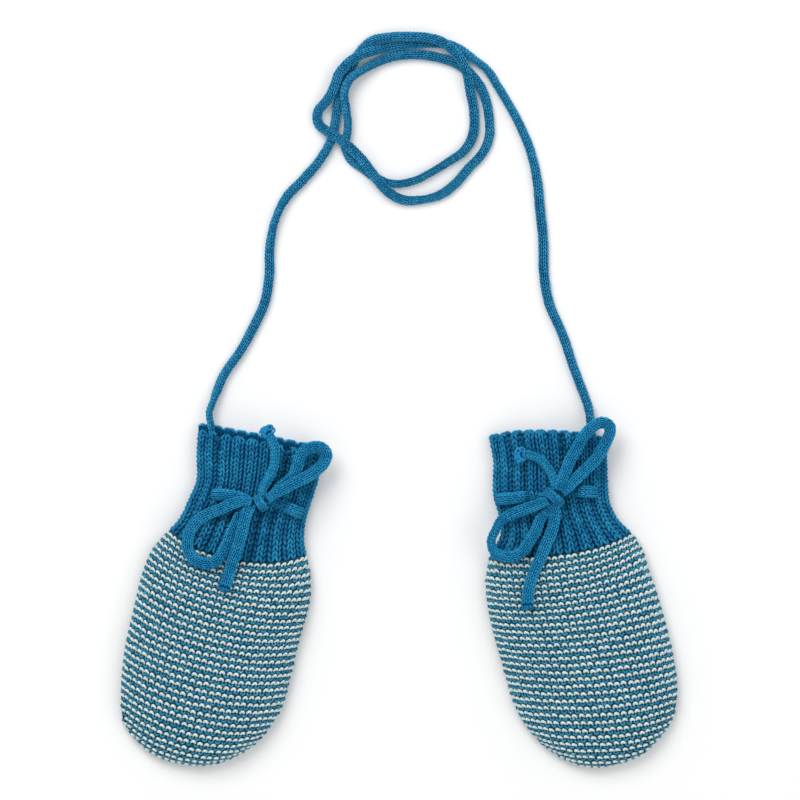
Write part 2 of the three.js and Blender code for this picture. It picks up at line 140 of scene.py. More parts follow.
def placed(mitten, row, x, half, z):  # a line across the mitten, in metres in the frame
    across = (row["right"] - row["left"]) / 2 + x * half
    down = row["at"] + row["bow"] * (1 - np.abs(x) ** cloth["bowPower"]) + row["tilt"] * x
    turn = math.radians(mitten["lean"])
    px = mitten["x"] + across * math.cos(turn) + down * math.sin(turn)
    py = mitten["y"] + across * math.sin(turn) - down * math.cos(turn)
    return np.stack([px, py, z + 0 * px], axis=1) * mm


def frontLine(mitten, at, inset, fall, u):
    row, half = cut(mitten, at, inset)
    x, z = dome(half, (row["height"] - seam - inset) * fall, u)
    return placed(mitten, row, x, half, seam + z)


def backLine(mitten, at, height, inset, u, tipDistance=math.inf):  # turned up at the sides and the tip
    row, half = cut(mitten, at, inset)
    x = np.clip(2 * u - 1, -1, 1)
    past = np.maximum(np.abs(2 * u - 1) - 1, 0) * half
    edge = cloth["edgeRound"]
    inward = np.minimum(np.minimum(half * (1 - np.abs(x)), tipDistance), edge) / edge
    turned = (cloth["seamHeight"] - height) * (1 - np.sqrt(1 - (1 - inward) ** 2))
    return placed(mitten, row, x, half, height + turned + past)


# the flat knitted cord runs through these points, as in the frame, 1.5 mm high where none is given
neckCordRoute = [
    (-74.8, 60.4, 4.1), (-74.8, 65.0, 4.1), (-75.0, 68.6, 4.1), (-75.6, 71.6, 3.9), (-75.8, 74.0, 3.2),
    (-74.6, 77.4, 2.4), (-70.0, 88.8), (-63.4, 98.4), (-58.3, 107.7), (-53.6, 118.1), (-51.9, 128.7),
    (-51.6, 140.0), (-49.6, 150.4), (-45.2, 159.6), (-38.4, 166.8), (-31.6, 174.8), (-26.8, 183.6),
    (-24.4, 197.2),
    # first turn
    (-22.8, 204.8), (-19.2, 211.6), (-15.6, 218.0), (-10.8, 222.4, 1.8), (-3.6, 223.8, 3.4),
    (3.2, 224.0, 4.5), (10.4, 223.6, 4.6), (16.8, 222.0, 4.6), (22.4, 217.6, 4.6), (26.4, 211.6, 4.6),
    (28.4, 202.8, 3.2), (30.0, 193.6, 1.6), (29.6, 184.8), (26.0, 178.4), (20.4, 174.4), (13.2, 170.0),
    (6.0, 166.4), (-1.6, 165.2), (-8.4, 167.2), (-14.0, 171.2), (-19.4, 175.4), (-21.4, 180.4),
    # second turn
    (-20.4, 188.0, 1.8), (-21.2, 195.6, 3.8), (-21.8, 201.6, 4.6), (-19.8, 206.6, 4.5),
    (-15.0, 210.4, 3.2), (-10.0, 213.2, 1.6), (-4.0, 215.6), (2.8, 216.8), (9.6, 216.8), (17.0, 215.4),
    (24.4, 212.6), (30.4, 207.2), (34.0, 200.8), (36.0, 191.6), (36.0, 183.6), (33.2, 177.2),
    (28.0, 171.6), (22.4, 165.2), (16.4, 160.8), (8.8, 158.8), (1.6, 158.8, 2.0), (-4.4, 162.0, 4.0),
    (-9.2, 167.4, 4.6),
    # kink, left side, middle top, right leg
    (-14.8, 174.8, 4.6), (-22.4, 182.0, 4.6), (-28.0, 185.6, 4.2), (-32.4, 189.6, 2.8),
    (-32.2, 194.4, 2.6), (-28.8, 198.4, 3.8), (-26.0, 203.6, 4.6), (-23.8, 209.4, 4.6),
    (-18.8, 214.6, 4.6), (-13.2, 217.4, 3.4), (-7.0, 219.2, 1.6), (1.6, 220.8), (9.6, 221.4),
    (17.2, 221.4), (23.6, 219.4), (29.6, 215.2), (35.2, 210.8), (39.6, 204.0), (44.4, 196.0),
    (48.4, 188.4), (52.4, 178.8), (55.2, 166.8), (56.4, 154.8), (57.6, 142.8), (58.0, 128.8),
    (60.0, 117.6), (65.6, 104.4), (69.6, 92.4), (73.2, 82.8), (75.6, 76.0, 2.4), (76.4, 70.6, 3.9),
    (76.9, 65.2, 4.1), (77.4, 59.4, 4.1),
]
neckCordRoute = [(*point, 1.5)[:3] for point in neckCordRoute]
# how far the flat cord is rolled over, in degrees, by its length in millimetres from the left cuff
neckCordRoll = [
    (0, 70), (18, 68), (26, 30), (32, 42), (40, 35), (50, 15), (80, 15), (90, 46), (100, 57), (110, 20),
    (120, 20), (130, 38), (145, 15), (185, 22), (225, 8), (250, 0), (260, 43), (270, 60), (292, 60),
    (300, 20), (310, 20), (320, 50), (350, 46), (370, 20), (400, 15), (430, 28), (450, 20), (460, 55),
    (470, 15), (530, 8), (585, 20), (600, 57), (610, 46), (640, 38), (650, 30), (660, 5), (700, 5),
    (710, 28), (740, 34), (765, 55),
]

# the bows: x, y and the layer, none on the cloth, 1 over another cord, less than 0 under the ribs
bows = {
    "left_loop_up": [
        (-46.6, 44.9), (-44.6, 46.2), (-42.0, 48.8), (-40.4, 52.4), (-39.6, 56.0), (-37.2, 59.0),
        (-33.2, 60.2), (-30.0, 59.2), (-28.8, 56.4), (-30.4, 53.2), (-33.6, 50.2, 0.2),
        (-37.6, 47.8, 0.8), (-42.0, 45.6, 1), (-46.8, 43.0, 1), (-50.2, 41.0, 1),
    ],
    "left_loop_down": [
        (-62.0, 38.6, 1), (-67.6, 36.9, 0.8), (-71.6, 35.0, 0.3), (-75.7, 33.5), (-80.0, 30.8),
        (-83.1, 26.6), (-84.1, 22.5), (-83.8, 18.8), (-82.0, 16.0), (-79.6, 14.5), (-75.7, 13.7),
        (-72.8, 14.8), (-70.4, 17.8), (-68.2, 22.0), (-66.4, 26.6), (-64.4, 30.6), (-63.2, 33.0),
    ],
    "left_string_up": [
        (-38.8, 33.4), (-42.4, 35.0), (-46.4, 36.6, -1.5), (-51.0, 38.2, -1.5), (-54.2, 40.2),
        (-54.4, 43.2), (-52.4, 46.8), (-50.4, 50.8), (-49.4, 54.8), (-49.4, 58.8), (-50.4, 62.6),
        (-52.4, 66.0),
    ],
    "left_string_down": [
        (-74.4, 41.2), (-68.4, 41.0), (-62.6, 39.6), (-59.2, 37.4, 0.2), (-60.4, 34.2, 0.9),
        (-61.4, 30.6, 1), (-62.3, 26.6, 1), (-63.4, 22.5, 1), (-64.8, 18.2, 0.9), (-66.4, 14.0, 0.4),
        (-67.4, 10.0), (-68.4, 6.8), (-69.2, 4.2),
    ],
    "right_loop_up": [
        (64.0, 45.6, 1), (66.2, 50.4, 0.6), (68.1, 54.8), (70.4, 58.8), (72.5, 62.8), (75.6, 66.8),
        (78.4, 69.0), (81.2, 69.8), (83.6, 68.8), (84.2, 66.4), (83.2, 63.6), (82.1, 61.1), (80.2, 57.8),
        (78.1, 54.8), (74.0, 50.8), (69.8, 46.8, 0.6), (67.2, 43.9, 1),
    ],
    "right_loop_down": [
        (56.4, 37.6, 1), (53.0, 36.4, 1), (49.6, 35.2, 0.9), (44.4, 33.0, 0.3), (40.8, 30.8),
        (38.4, 26.8), (36.7, 22.6), (37.6, 19.0), (40.4, 17.0), (44.6, 16.5), (48.0, 17.8), (50.2, 20.0),
        (51.9, 22.6), (54.4, 26.6), (56.0, 30.8),
    ],
    "right_string_up": [
        (78.8, 42.0), (73.0, 42.4), (69.6, 42.4, -1.5), (66.4, 42.2, -1.5), (62.4, 43.6), (61.6, 47.2),
        (59.8, 50.8), (57.0, 54.2), (54.0, 56.2), (51.2, 57.0), (48.6, 56.8),
    ],
    "right_string_down": [
        (39.0, 39.2), (45.2, 39.8), (49.4, 40.2, -0.3), (52.0, 40.2, -1.5), (55.4, 39.8, -1.5),
        (58.6, 38.8), (62.0, 35.2), (61.8, 30.8), (60.8, 26.6), (59.1, 22.6), (57.4, 18.5), (55.6, 14.4),
        (53.6, 10.3), (52.3, 6.2), (51.4, 2.2), (51.3, -2.8),
    ],
}


def clothTop(mitten, x, y):  # height of the front cloth under a point, in millimetres
    turn = math.radians(mitten["lean"])
    dx, dy = x - mitten["x"], y - mitten["y"]
    across = dx * math.cos(turn) + dy * math.sin(turn)
    down = dx * math.sin(turn) - dy * math.cos(turn)
    first, last = mitten["outline"][0]["at"], mitten["outline"][-1]["at"]
    row, half = cut(mitten, min(max(down, first), last))
    for _ in range(cloth["fitRounds"]):
        share = (across - (row["right"] - row["left"]) / 2) / half
        share = min(max(share, -cloth["edgeShare"]), cloth["edgeShare"])
        at = down - row["bow"] * (1 - abs(share) ** cloth["bowPower"]) - row["tilt"] * share
        row, half = cut(mitten, min(max(at, first), last))
    raised = cloth["ribHeight"] if row["at"] < mitten["join"] else cloth["ridgeHeight"]
    return seam + (row["height"] - seam) * float(domeShare(share)) + raised


def draped(mitten, route):
    reach = cordSize["width"] / 2
    points = []
    for x, y, layer in [(*point, 0)[:3] for point in route]:
        around = [(0, 0), (reach, 0), (-reach, 0), (0, reach), (0, -reach)]
        top = max(clothTop(mitten, x + dx, y + dy) for dx, dy in around)
        points.append((x, y, top + gap + cordSize["thickness"] / 2 + layer * (cordSize["thickness"] + gap)))
    return points


def smoothRoute(points, spacing):  # centripetal Catmull-Rom, resampled to an even spacing
    p = np.array(points, float)
    p = np.vstack([2 * p[0] - p[1], p, 2 * p[-1] - p[-2]])
    dense = []
    for k in range(1, len(p) - 2):
        q = p[k - 1:k + 3]
        knots = np.concatenate([[0], np.cumsum(np.sqrt(np.linalg.norm(np.diff(q, axis=0), axis=1)))])
        t = np.linspace(knots[1], knots[2], 24, endpoint=False)[:, None]
        for width in (1, 2):
            share = [(t - knots[i]) / (knots[i + width] - knots[i]) for i in range(4 - width)]
            q = [q[i] + share[i] * (q[i + 1] - q[i]) for i in range(4 - width)]
        dense.append(q[0] + (t - knots[1]) / (knots[2] - knots[1]) * (q[1] - q[0]))
    dense = np.vstack(dense + [p[-2:-1]])
    along = np.concatenate([[0], np.cumsum(np.linalg.norm(np.diff(dense, axis=0), axis=1))])
    at = np.linspace(0, along[-1], max(4, round(along[-1] / spacing)) + 1)
    return np.stack([np.interp(at, along, dense[:, k]) for k in range(3)], axis=1), at


def addMesh(name, points, faces, materials=()):
    mesh = bpy.data.meshes.new(name)
    mesh.from_pydata([tuple(map(float, p)) for p in points], [], faces)
    mesh.polygons.foreach_set("use_smooth", [True] * len(mesh.polygons))
    for material in materials:
        mesh.materials.append(material)
    piece = bpy.data.objects.new(name, mesh)
    scene.collection.objects.link(piece)
    return piece


def unit(vectors):
    return vectors / (np.linalg.norm(vectors, axis=-1, keepdims=True) + 1e-12)


def facingOf(grid):  # which way a grid faces at each of its points
    return unit(np.cross(np.gradient(grid, axis=1), np.gradient(grid, axis=0)))


def quads(a, b, c, d):  # the faces between four grids of point numbers
    return np.stack([a, b, c, d], axis=-1).reshape(-1, 4)


def addGuide(name, grid, us, vs, within=1.0, hollow=0.0):
    # us and vs count in stitches, within is 1 where they may lie, and the fold share is 1 at the bottom of a
    # deep fold, where the yarn gets painted shade
    rows, columns = grid.shape[:2]
    if us.ndim == 1:
        us, vs = np.meshgrid(us, vs)
    corner, span = (us.min(), vs.min()), (np.ptp(us), np.ptp(vs))
    us, vs = (us - corner[0]) / span[0], (vs - corner[1]) / span[1]  # the UV itself runs from 0 to 1
    number = np.arange(rows * columns).reshape(rows, columns)
    faces = quads(number[:-1, :-1], number[:-1, 1:], number[1:, 1:], number[1:, :-1])
    guide = addMesh(name, grid.reshape(-1, 3), faces.tolist())
    place = np.stack([us, vs], axis=-1).reshape(-1, 2)
    uv = guide.data.uv_layers.new(name="knit")
    uv.data.foreach_set("uv", place[faces.ravel()].astype(np.float32).ravel())
    everywhere = np.ones((rows, columns))
    for attribute, kind, key, values in (("facing", "FLOAT_VECTOR", "vector", facingOf(grid)),
                                         ("within", "FLOAT", "value", everywhere * within),
                                         ("hollow", "FLOAT", "value", everywhere * hollow)):
        data = guide.data.attributes.new(attribute, kind, "POINT").data
        data.foreach_set(key, values.astype(np.float32).ravel())
    guide["corner"], guide["span"] = (*map(float, corner), 0.0), (*map(float, span), 1.0)
    return guide


def addStitch(name, strands, cell):  # strands are (points, radii) in mm, the cell's middle at the origin
    verts, faces, uvs = [], [], []
    for points, radii, sides in strands:
        p = np.array(points, float)
        tangent = unit(np.gradient(p, axis=0))
        start = len(verts)
        for centre, t, radius in zip(p, tangent, radii):
            side = unit(np.cross(t, (0, 0, 1)))
            up = np.cross(side, t)
            for j in range(sides):
                angle = 2 * math.pi * j / sides
                q = centre + radius * (math.cos(angle) * side + math.sin(angle) * up)
                verts.append((q[0] / cell[0], q[1] / cell[1], q[2] * mm))
        last = len(p) - 1
        for i in range(last):
            for j in range(sides):
                k = (j + 1) % sides
                faces.append([start + i * sides + j, start + i * sides + k,
                              start + (i + 1) * sides + k, start + (i + 1) * sides + j])
                uvs.append([(j / sides, i / last), ((j + 1) / sides, i / last),
                            ((j + 1) / sides, (i + 1) / last), (j / sides, (i + 1) / last)])
        faces.append([start + j for j in range(sides)][::-1])
        uvs.append([(0.5, 0)] * sides)
        faces.append([start + last * sides + j for j in range(sides)])
        uvs.append([(0.5, 1)] * sides)
    stitch = addMesh(name, verts, faces)
    layer = stitch.data.uv_layers.new(name="strand")
    layer.data.foreach_set("uv", np.concatenate([np.ravel(face) for face in uvs]))
    return stitch


def nodeTools(tree):
    def node(kind, inputs=(), **settings):  # an input is a value, or another node's output to link
        made = tree.nodes.new(kind)
        for key, value in settings.items():
            setattr(made, key, value)
        for socket, value in dict(inputs).items():
            if isinstance(value, bpy.types.NodeSocket):
                tree.links.new(value, made.inputs[socket])
            else:
                made.inputs[socket].default_value = value
        return made

    def maths(operation, *values, kind="ShaderNodeMath"):
        return node(kind, enumerate(values), operation=operation).outputs[0]

    return node, maths


def buildKnitTree():  # lays a stitch on every cell of a guide surface
    tree = bpy.data.node_groups.new("knitOnSurface", "GeometryNodeTree")
    face = tree.interface
    for name, kind, value in [
            ("Geometry", "Geometry", None), ("Guide", "Object", None), ("Stitch", "Object", None),
            ("Yarn", "Material", None), ("Columns", "Int", 10), ("Rows", "Int", 10),
            ("First Across", "Float", 0.5), ("First Along", "Float", 0.5), ("Corner", "Vector", (0, 0, 0)),
            ("Span", "Vector", (1, 1, 1)), ("Pull", "Float", 0.0), ("Wander", "Float", 0.04),
            ("Seed", "Int", 1)]:
        socket = face.new_socket(name=name, in_out="INPUT", socket_type=f"NodeSocket{kind}")
        if value is not None:
            socket.default_value = value
    face.new_socket(name="Geometry", in_out="OUTPUT", socket_type="NodeSocketGeometry")
    node, maths = nodeTools(tree)

    def named(name, kind="FLOAT"):
        return node("GeometryNodeInputNamedAttribute", {"Name": name}, data_type=kind).outputs[0]

    def stored(geometry, name, value, domain):
        return node("GeometryNodeStoreNamedAttribute", {"Geometry": geometry, "Name": name, "Value": value},
                    data_type="FLOAT", domain=domain).outputs[0]

    given = node("NodeGroupInput").outputs
    guide = node("GeometryNodeObjectInfo", {"Object": given["Guide"]}).outputs["Geometry"]
    guideUv = named("knit", "FLOAT_VECTOR")
    position = node("GeometryNodeInputPosition").outputs[0]
    x, y, z = node("ShaderNodeSeparateXYZ", {0: position}).outputs

    def onGuide(value, place, kind="FLOAT"):  # a value of the guide at a place counted in stitches
        shifted = maths("SUBTRACT", place, given["Corner"], kind="ShaderNodeVectorMath")
        share = maths("DIVIDE", shifted, given["Span"], kind="ShaderNodeVectorMath")
        return node("GeometryNodeSampleUVSurface", data_type=kind, inputs={
            "Mesh": guide, "Value": value, 2: guideUv, "Sample UV": share}).outputs["Value"]

    # one point for each cell
    lastColumn = maths("SUBTRACT", given["Columns"], 1)
    lastRow = maths("SUBTRACT", given["Rows"], 1)
    grid = node("GeometryNodeMeshGrid", {"Vertices X": given["Columns"], "Vertices Y": given["Rows"],
                                         "Size X": lastColumn, "Size Y": lastRow})
    column = maths("ADD", maths("ADD", x, maths("MULTIPLY", lastColumn, 0.5)), given["First Across"])
    row = maths("ADD", maths("ADD", y, maths("MULTIPLY", lastRow, 0.5)), given["First Along"])
    ribMiddle = maths("ADD", maths("MULTIPLY", maths("FLOOR", maths("MULTIPLY", column, 0.5)), 2), 1)
    pull = maths("MULTIPLY", maths("SUBTRACT", column, ribMiddle), given["Pull"])
    cell = node("ShaderNodeCombineXYZ", {0: maths("SUBTRACT", column, pull), 1: row})
    cells = node("GeometryNodeSetPosition", {"Geometry": grid.outputs["Mesh"], "Position": cell.outputs[0]})
    outside = maths("LESS_THAN", onGuide(named("within"), position), 0.5)
    kept = node("GeometryNodeDeleteGeometry", {"Geometry": cells.outputs[0], "Selection": outside},
                domain="POINT")

    # a stitch on each, a little off its place and with a tone of its own
    stitch = node("GeometryNodeObjectInfo", {"Object": given["Stitch"]}).outputs["Geometry"]
    laid = node("GeometryNodeInstanceOnPoints", {"Points": kept.outputs[0], "Instance": stitch})
    drift = node("FunctionNodeRandomValue", data_type="FLOAT_VECTOR", inputs={
        0: (-1, -1, -0.0015), 1: (1, 1, 0.0015), "Seed": given["Seed"]})
    amount = node("ShaderNodeVectorMath", {0: drift.outputs[0], "Scale": given["Wander"]}, operation="SCALE")
    moved = node("GeometryNodeTranslateInstances", {"Instances": laid.outputs[0],
                                                    "Translation": amount.outputs[0]})
    tone = node("FunctionNodeRandomValue", {"Seed": maths("ADD", given["Seed"], 7)}, data_type="FLOAT")
    toned = stored(moved.outputs[0], "stitchTone", tone.outputs[1], "INSTANCE")
    real = node("GeometryNodeRealizeInstances", {"Geometry": toned})

    # every point goes to its place on the guide, and out along its facing
    at = node("ShaderNodeCombineXYZ", {0: x, 1: y}).outputs[0]
    facing = onGuide(named("facing", "FLOAT_VECTOR"), at, "FLOAT_VECTOR")
    outward = node("ShaderNodeVectorMath", {0: facing, "Scale": z}, operation="SCALE")
    surface = onGuide(position, at, "FLOAT_VECTOR")
    onSurface = maths("ADD", surface, outward.outputs[0], kind="ShaderNodeVectorMath")
    # each point also takes the guide's fold share, which darkens its yarn as painted shade
    deep = stored(real.outputs[0], "hollow", onGuide(named("hollow"), at), "POINT")
    wrapped = node("GeometryNodeSetPosition", {"Geometry": deep, "Position": onSurface})
    finish = node("GeometryNodeSetMaterial", {"Geometry": wrapped.outputs[0], "Material": given["Yarn"]})
    node("NodeGroupOutput", {0: finish.outputs[0]})
    return tree


knitTree = buildKnitTree()
knitSockets = {item.name: item.identifier for item in knitTree.interface.items_tree if item.in_out == "INPUT"}


def knitOn(name, guide, stitch, yarn, **sizes):
    piece = bpy.data.objects.new(name, bpy.data.meshes.new(name))
    scene.collection.objects.link(piece)
    knit = piece.modifiers.new("knit", "NODES")
    knit.node_group = knitTree
    given = {"Guide": guide, "Stitch": stitch, "Yarn": yarn, "Corner": guide["corner"].to_list(),
             "Span": guide["span"].to_list(), **sizes}
    for key, value in given.items():
        knit[knitSockets[key]] = value
    bpy.context.view_layer.update()
    graph = bpy.context.evaluated_depsgraph_get()
    knitted = piece.evaluated_get(graph)
    mesh = bpy.data.meshes.new_from_object(knitted, preserve_all_data_layers=True, depsgraph=graph)
    piece.modifiers.remove(knit)
    piece.data = mesh
    return piece


def remove(*pieces):
    for piece in pieces:
        bpy.data.objects.remove(piece)


# materials: cotton yarn in blue and cream
def startMaterial(name, roughness, specular, **more):
    material = bpy.data.materials.new(name)
    material.use_nodes = True
    surface = material.node_tree.nodes["Principled BSDF"].inputs
    for key, value in {"Roughness": roughness, "Specular IOR Level": specular, **more}.items():
        surface[key].default_value = value
    return material


def noise(node, scale, detail=2):
    place = node("ShaderNodeTexCoord").outputs["Object"]
    return node("ShaderNodeTexNoise", {"Vector": place, "Scale": scale, "Detail": detail}).outputs["Fac"]


def mixed(node, under, over, share):
    under, over = [(*c, 1) if isinstance(c, tuple) else c for c in (under, over)]
    return node("ShaderNodeMix", {"A": under, "B": over, "Factor": share}, data_type="RGBA").outputs["Result"]


def finishMaterial(material, node, colour, height, strength, distance):
    surface = material.node_tree.nodes["Principled BSDF"].inputs
    bump = node("ShaderNodeBump", {"Strength": strength, "Distance": distance, "Height": height})
    material.node_tree.links.new(colour, surface["Base Color"])
    material.node_tree.links.new(bump.outputs[0], surface["Normal"])
    return material


def yarnMaterial(name, colour, shade, light, sheen, flecks=None):
    material = startMaterial(name, 0.82, 0.12, **{
        "Sheen Weight": sheen, "Sheen Roughness": 0.45, "Sheen Tint": (*light, 1)})
    node, maths = nodeTools(material.node_tree)
    fibre = noise(node, 2600, 3)  # loose fibres
    patch = noise(node, 90)  # slow change over the cloth
    strand = node("ShaderNodeUVMap", uv_map="strand").outputs[0]
    u, v, _ = node("ShaderNodeSeparateXYZ", {0: strand}).outputs
    winding = maths("ADD", maths("MULTIPLY", u, 3), maths("MULTIPLY", v, 3))
    ply = maths("ABSOLUTE", maths("SINE", maths("MULTIPLY", winding, math.pi)))  # the twisted plies
    tone = node("ShaderNodeAttribute", attribute_name="stitchTone").outputs["Fac"]
    hollow = node("ShaderNodeAttribute", attribute_name="hollow").outputs["Fac"]

    # painted shade between the twisted plies, broken up by the loose fibres
    lit = maths("ADD", maths("MULTIPLY", ply, 0.55), maths("MULTIPLY", fibre, 0.75))
    yarn = mixed(node, shade, colour, lit)
    yarn = mixed(node, yarn, light, maths("MULTIPLY", maths("ADD", tone, patch), 0.42))
    if flecks:
        yarn = mixed(node, yarn, flecks["colour"], maths("GREATER_THAN", noise(node, 900), flecks["above"]))
    deep = (0.0, shade[1] * 0.35, shade[2] * 0.45)  # painted shade: little light reaches the bottom of a fold, so the yarn is darkened there
    yarn = mixed(node, yarn, deep, maths("MULTIPLY", hollow, 0.85))
    height = maths("ADD", ply, maths("MULTIPLY", fibre, 0.8))
    return finishMaterial(material, node, yarn, height, 0.6, 0.00022)


def coreMaterial(name, colour, shade):  # the cloth between the stitches, coloured dark as painted shade, with a fine grain
    material = startMaterial(name, 0.95, 0.1)
    node, _ = nodeTools(material.node_tree)
    grain = noise(node, 1200, 4)
    return finishMaterial(material, node, mixed(node, shade, colour, grain), grain, 0.5, 0.0003)


# each yarn has its colour, its painted shade between the plies and its light
cuffYarn = yarnMaterial("cuffYarn", (0.0, 0.14, 0.335), (0.0, 0.045, 0.16), (0.035, 0.38, 0.64), 0.05)
# the cuff yarn darkened as painted shade, for the inside of the back rim
shadedCuffYarn = yarnMaterial("shadedCuffYarn", (0.0, 0.09, 0.21), (0.0, 0.035, 0.10), (0.01, 0.16, 0.32), 0.04)
cordYarn = yarnMaterial("cordYarn", (0.002, 0.25, 0.53), (0.0, 0.085, 0.26), (0.09, 0.56, 0.88), 0.06)
bowYarn = yarnMaterial("bowYarn", (0.002, 0.28, 0.555), (0.0, 0.12, 0.34), (0.055, 0.5, 0.86), 0.06)
creamYarn = yarnMaterial("creamYarn", (0.62, 0.75, 0.73), (0.38, 0.52, 0.52), (0.80, 0.90, 0.89), 0.1)
paleFlecks = {"above": 0.67, "colour": (0.35, 0.52, 0.53)}
handBlueYarn = yarnMaterial("handBlueYarn", (0.013, 0.20, 0.36), (0.005, 0.10, 0.20), (0.07, 0.34, 0.50),
                            0.08, paleFlecks)
# the cloth under the stitches, in dark colours that are painted shade
cuffCore = coreMaterial("cuffCore", (0.0, 0.06, 0.16), (0.0, 0.025, 0.08))
handCore = coreMaterial("handCore", (0.012, 0.09, 0.14), (0.004, 0.04, 0.07))
cordCore = coreMaterial("cordCore", (0.0, 0.05, 0.15), (0.0, 0.02, 0.07))


# stitches
def arc(width, rise, low, high, radius, sides, steps, turnedOver=False):
    # a half loop of yarn: its middle stands proud and its ends dive between its neighbours
    t = np.linspace(-1, 1, steps + 1)
    x = width / 2 * np.sin(t * math.pi / 2)
    y = rise * (np.cos(t * math.pi / 2) - 0.5) * (-1 if turnedOver else 1)
    z = low + (high - low) * (1 - np.abs(t) ** 2.4)
    radii = radius * (1 - 0.55 * np.abs(t) ** 2.6)
    return np.stack([x, y, z], axis=1), radii, sides


def legs(width, length, low, high, radius, sides, steps):
    # the two legs of a knit stitch, from its foot up and out
    t = np.linspace(0, 1, steps + 1)
    swell = np.sin(math.pi * (0.06 + 0.88 * t))
    away, y, z = width * (0.08 + 0.30 * t ** 0.85), length * (t - 0.5), low + (high - low) * swell
    radii = radius * (0.4 + 0.6 * swell ** 0.8)
    return [(np.stack([side * away, y, z], axis=1), radii, sides) for side in (-1, 1)]


garter = {"across": 2.76, "along": 2.82, "widening": 0.0013}  # one stitch and one ridge of the hand
plain = {"across": 3.1, "along": 1.95}  # one stitch of the cuff's rib
fine = {"across": 1.45, "along": 1.4}  # one stitch of the cords

garterCell, plainCell, fineCell = [(s["across"], s["along"]) for s in (garter, plain, fine)]
creamStitch = addStitch("creamStitch", [arc(1.8, 1.15, -0.6, 0.42, 0.59, 6, 6)], garterCell)
blueStitch = addStitch("blueStitch", [arc(1.9, 1.1, -0.42, 0.16, 0.50, 5, 6, True)], garterCell)
backCream = addStitch("backCream", [arc(1.9, 0.95, -0.35, 0.05, 0.52, 4, 3)], garterCell)
backBlue = addStitch("backBlue", [arc(1.9, 1.1, -0.35, 0.0, 0.46, 4, 3, True)], garterCell)
ribStitch = addStitch("ribStitch", legs(3.1, 2.35, -0.35, 0.34, 0.50, 5, 5), plainCell)
backRib = addStitch("backRib", legs(3.1, 2.35, -0.35, 0.0, 0.45, 4, 3), plainCell)
cordStitch = addStitch("cordStitch", legs(1.45, 1.65, -0.15, 0.20, 0.26, 3, 3), fineCell)
bowStitch = addStitch("bowStitch", legs(1.5, 1.75, -0.14, 0.22, 0.30, 3, 3), fineCell)
edgeStrand = [(1.7 * t, 0.25 * t, 0.4 - 0.35 * t * t) for t in np.linspace(-1, 1, 6)]
edgeRadii = [0.35, 0.475, 0.5, 0.5, 0.475, 0.35]
edgeStitch = addStitch("edgeStitch", [(edgeStrand, edgeRadii, 5)], plainCell)


def finishPiece(piece, nodes):
    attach(piece, body)
    if nodes:
        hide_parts(*nodes)


# cord
knitCord = {"spacing": 0.9, "sides": 16, "fullness": 2.6, "pinch": 0.36, "pinchReach": 4.5, "overlap": 0.2,
            "wander": 0.05}
neckStyle = {"width": 3.4, "thickness": 1.9, "columns": 7, "stitch": cordStitch, "yarn": cordYarn}
bowStyle = {"width": 4.0, "thickness": 2.1, "columns": 8, "stitch": bowStitch, "yarn": bowYarn}
level = [(0, 0), (1, 0)]  # a cord that isn't rolled over


def cordRings(points, rolls, width, thickness, u):
    tangent = unit(np.gradient(points, axis=0))
    side = unit(np.cross(tangent, (0, 0, 1)))
    up = np.cross(side, tangent)
    roll = np.radians(rolls)[:, None]
    flatSide = side * np.cos(roll) + up * np.sin(roll)
    flatUp = up * np.cos(roll) - side * np.sin(roll)
    turn = math.pi - 2 * math.pi * u  # from the left edge over the top
    c, s, full = np.cos(turn), np.sin(turn), knitCord["fullness"]
    swell = (np.abs(c) ** full + np.abs(s) ** full) ** (-1 / full)
    across = np.multiply.outer(width, c * swell)[:, :, None] / 2
    above = np.multiply.outer(thickness, s * swell)[:, :, None] / 2
    return points[:, None, :] + flatSide[:, None, :] * across + flatUp[:, None, :] * above


def makeCord(name, points, style, node, seed, rolls=level, pinched=False):
    line, along = smoothRoute(points, knitCord["spacing"])
    length = along[-1]
    roll = np.interp(along, *zip(*rolls))
    # a rolled cord is taller, so its middle rises
    halfWidth, halfHeight = cordSize["width"] / 2, cordSize["thickness"] / 2
    rise = np.hypot(halfWidth * np.sin(np.radians(roll)), halfHeight * np.cos(np.radians(roll)))
    line[:, 2] += np.maximum(rise - halfHeight, 0)
    squeeze = np.ones(len(line))
    if pinched:  # the knot draws both ends narrower
        for distance in (along, length - along):
            squeeze *= 1 - knitCord["pinch"] * np.exp(-((distance / knitCord["pinchReach"]) ** 2))
    width, thickness = style["width"] * squeeze, np.full(len(line), style["thickness"])
    rings = cordRings(line, roll, width, thickness, np.arange(knitCord["sides"]) / knitCord["sides"]) * mm
    count, sides = rings.shape[:2]
    number = np.arange(count * sides).reshape(count, sides)
    beside = np.roll(number, -1, axis=1)
    faces = quads(number[:-1], beside[:-1], beside[1:], number[1:]).tolist()
    caps = [number[0][::-1].tolist(), number[-1].tolist()]
    tube = addMesh(name, rings.reshape(-1, 3), faces + caps, [cordCore])
    columns, rows = style["columns"], max(2, round(length / fine["along"]) - 1)
    around = np.linspace(-knitCord["overlap"], 1 + knitCord["overlap"], 33)
    guide = addGuide(name + "_guide", cordRings(line, roll, width, thickness, around) * mm, around * columns,
                     np.linspace(0, rows + 1, count))
    stitches = knitOn(name + "_stitches", guide, style["stitch"], style["yarn"], **{
        "Columns": columns, "Rows": rows, "First Along": 1.0, "Wander": knitCord["wander"], "Seed": seed})
    remove(guide)
    finishPiece(tube, [node])
    finishPiece(stitches, [])
    return tube, stitches, line * mm, length


print("cords")
neckTube, neckStitches, neckLine, neckLength = makeCord(
    "neck_cord_core", neckCordRoute, neckStyle, "neck_cord", 3, neckCordRoll)
tuple(neckLine[0])
print("neck cord", round(neckLength), "mm")


